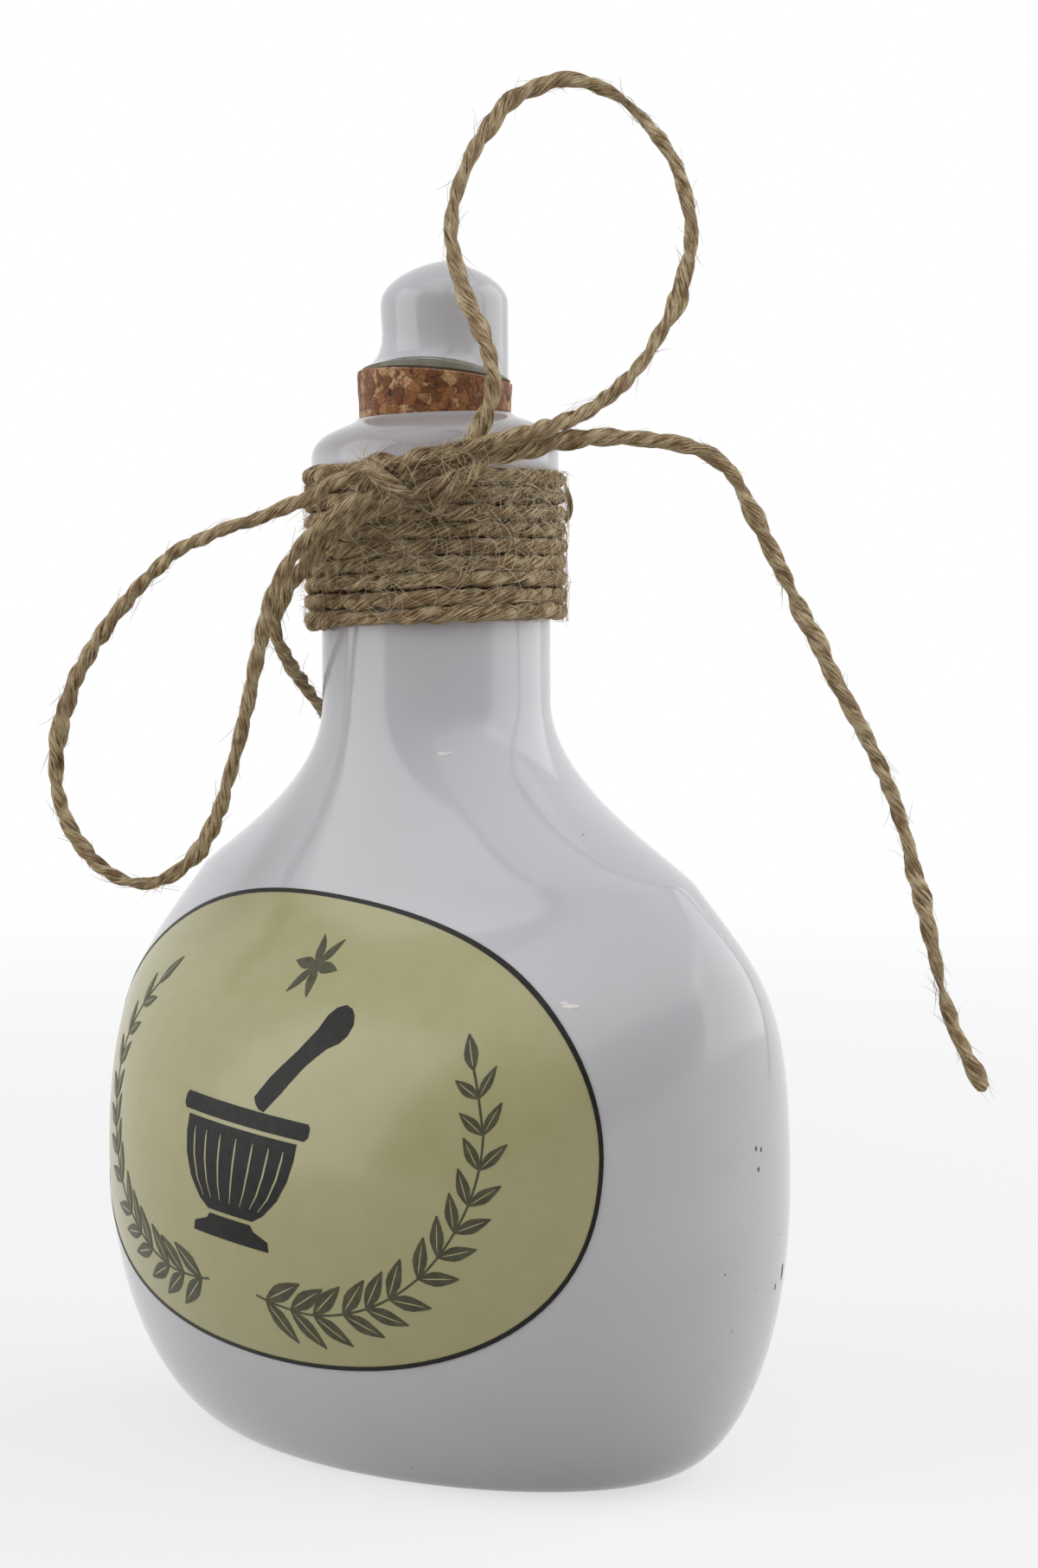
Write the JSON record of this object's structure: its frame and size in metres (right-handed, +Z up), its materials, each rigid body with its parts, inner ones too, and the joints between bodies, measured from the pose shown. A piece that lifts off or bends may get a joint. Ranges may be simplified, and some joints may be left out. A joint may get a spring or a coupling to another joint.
{
  "type": "ceramic apothecary jar",
  "caption": "Flat-sided white glazed ceramic flask with an oval label, a cork stopper topped by a ceramic knob, and jute twine wound round the neck and tied in a bow.",
  "frame": {"origin": "centre of the foot, on the surface the jar stands on", "axes": "+Z up along the neck, -Y out of the labelled front, +X to the right of someone facing the label"},
  "size_m": [0.1221, 0.0947, 0.201],
  "materials": {
    "jar_glaze": "glossy clear glaze over white",
    "label_print": "pale yellow-green print with a black border",
    "cork": "agglomerated cork, dry",
    "glue": "dried clear-grey glue",
    "knob_glaze": "glossy clear glaze over white",
    "jute_twine": "twisted natural jute with loose fibres"
  },
  "bodies": {
    "jar": {"jar_body": "jar_glaze", "label_decal": "label_print", "twine_wrap": "jute_twine", "twine_knot": "jute_twine", "twine_loop_upper": "jute_twine", "twine_loop_left": "jute_twine", "twine_tail_right": "jute_twine", "twine_tail_left": "jute_twine"},
    "stopper": {"stopper_cork": "cork", "stopper_glue": "glue", "stopper_knob": "knob_glaze"}
  },
  "joints": [
    {"name": "stopper_lift", "type": "slide", "parent": "jar", "child": "stopper", "axis": [0, 0, 1], "range_m": [0, 0.05]}
  ]
}
